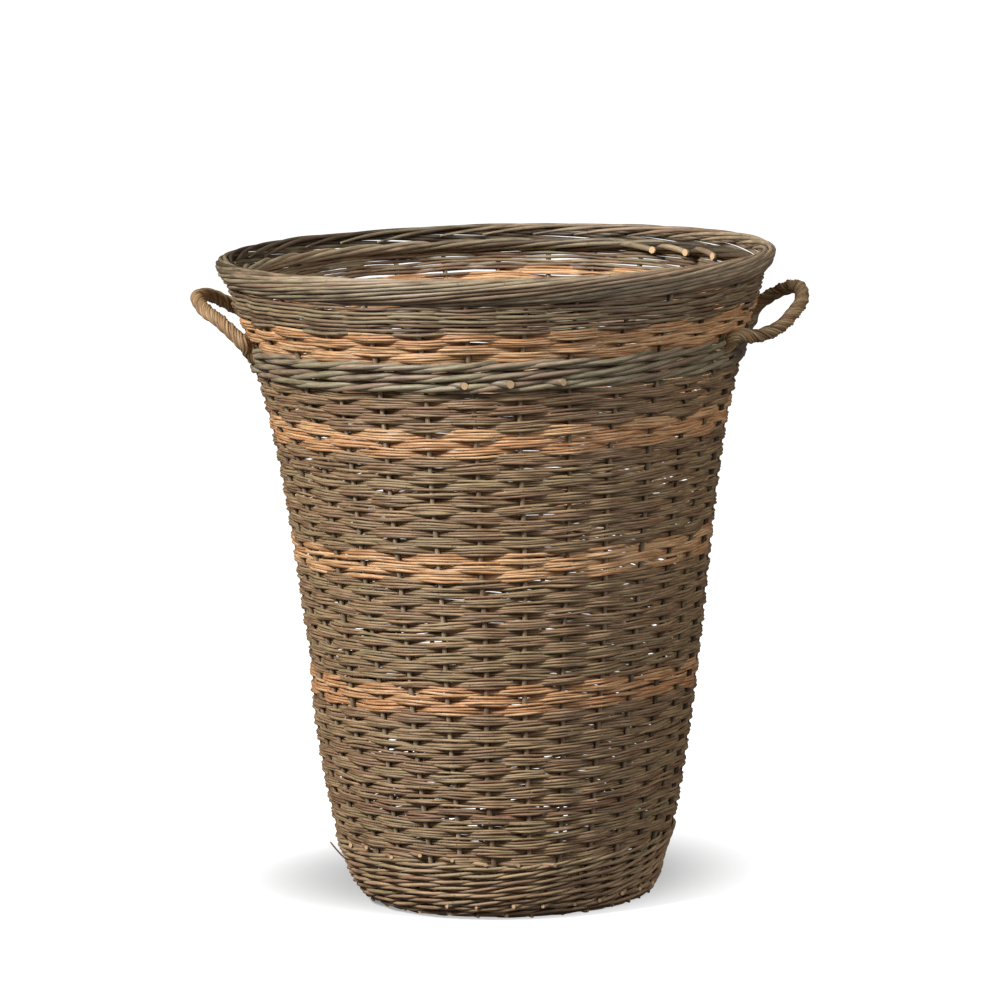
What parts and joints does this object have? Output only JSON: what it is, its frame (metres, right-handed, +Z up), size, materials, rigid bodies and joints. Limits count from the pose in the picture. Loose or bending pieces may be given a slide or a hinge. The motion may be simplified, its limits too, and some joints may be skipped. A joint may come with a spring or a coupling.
{
  "type": "hop picking basket",
  "caption": "Tall round woven willow basket that flares to a rod border, with a waled foot, buff bushel bands, a mid wale and stiff twisted rope handles.",
  "frame": {"origin": "on the floor, under the middle of the base", "axes": "+Z up the basket's own axis, -Y towards the viewer of the picture, +X towards the right-hand handle"},
  "size_m": [0.8018, 0.7155, 0.8445],
  "materials": {
    "siding_willow": "olive brown bark of dried willow rods, satin",
    "buff_willow": "boiled and stripped orange tan willow rods, satin",
    "green_willow": "grey green bark of thick willow rods, satin",
    "stake_willow": "grey brown bark of stout willow rods, matt to satin",
    "handle_willow": "ochre brown twisted willow rods, satin"
  },
  "bodies": {
    "root": {"base_stick_1": "stake_willow", "base_stick_5": "stake_willow", "base_stick_2": "stake_willow", "base_stick_6": "stake_willow", "base_stick_3": "stake_willow", "base_stick_7": "stake_willow", "base_stick_4": "stake_willow", "base_stick_8": "stake_willow", "base_weave_a": "stake_willow", "base_weave_b": "stake_willow", "foot_wale": "siding_willow", "siding_olive_1": "siding_willow", "siding_buff_1": "buff_willow", "siding_olive_2": "siding_willow", "siding_buff_2": "buff_willow", "siding_olive_3": "siding_willow", "siding_buff_3": "buff_willow", "siding_olive_4": "siding_willow", "mid_wale": "green_willow", "siding_buff_4": "buff_willow", "upper_rand": "siding_willow", "stake_01": "stake_willow", "stake_02": "stake_willow", "stake_03": "stake_willow", "stake_04": "stake_willow", "stake_05": "stake_willow", "stake_06": "stake_willow", "stake_07": "stake_willow", "stake_08": "stake_willow", "stake_09": "stake_willow", "stake_10": "stake_willow", "stake_11": "stake_willow", "stake_12": "stake_willow", "stake_13": "stake_willow", "stake_14": "stake_willow", "stake_15": "stake_willow", "stake_16": "stake_willow", "stake_17": "stake_willow", "stake_18": "stake_willow", "stake_19": "stake_willow", "stake_20": "stake_willow", "stake_21": "stake_willow", "stake_22": "stake_willow", "stake_23": "stake_willow", "stake_24": "stake_willow", "stake_25": "stake_willow", "stake_26": "stake_willow", "stake_27": "stake_willow", "stake_28": "stake_willow", "stake_29": "stake_willow", "stake_30": "stake_willow", "stake_31": "stake_willow", "handle_right": "handle_willow", "handle_left": "handle_willow"}
  },
  "joints": []
}
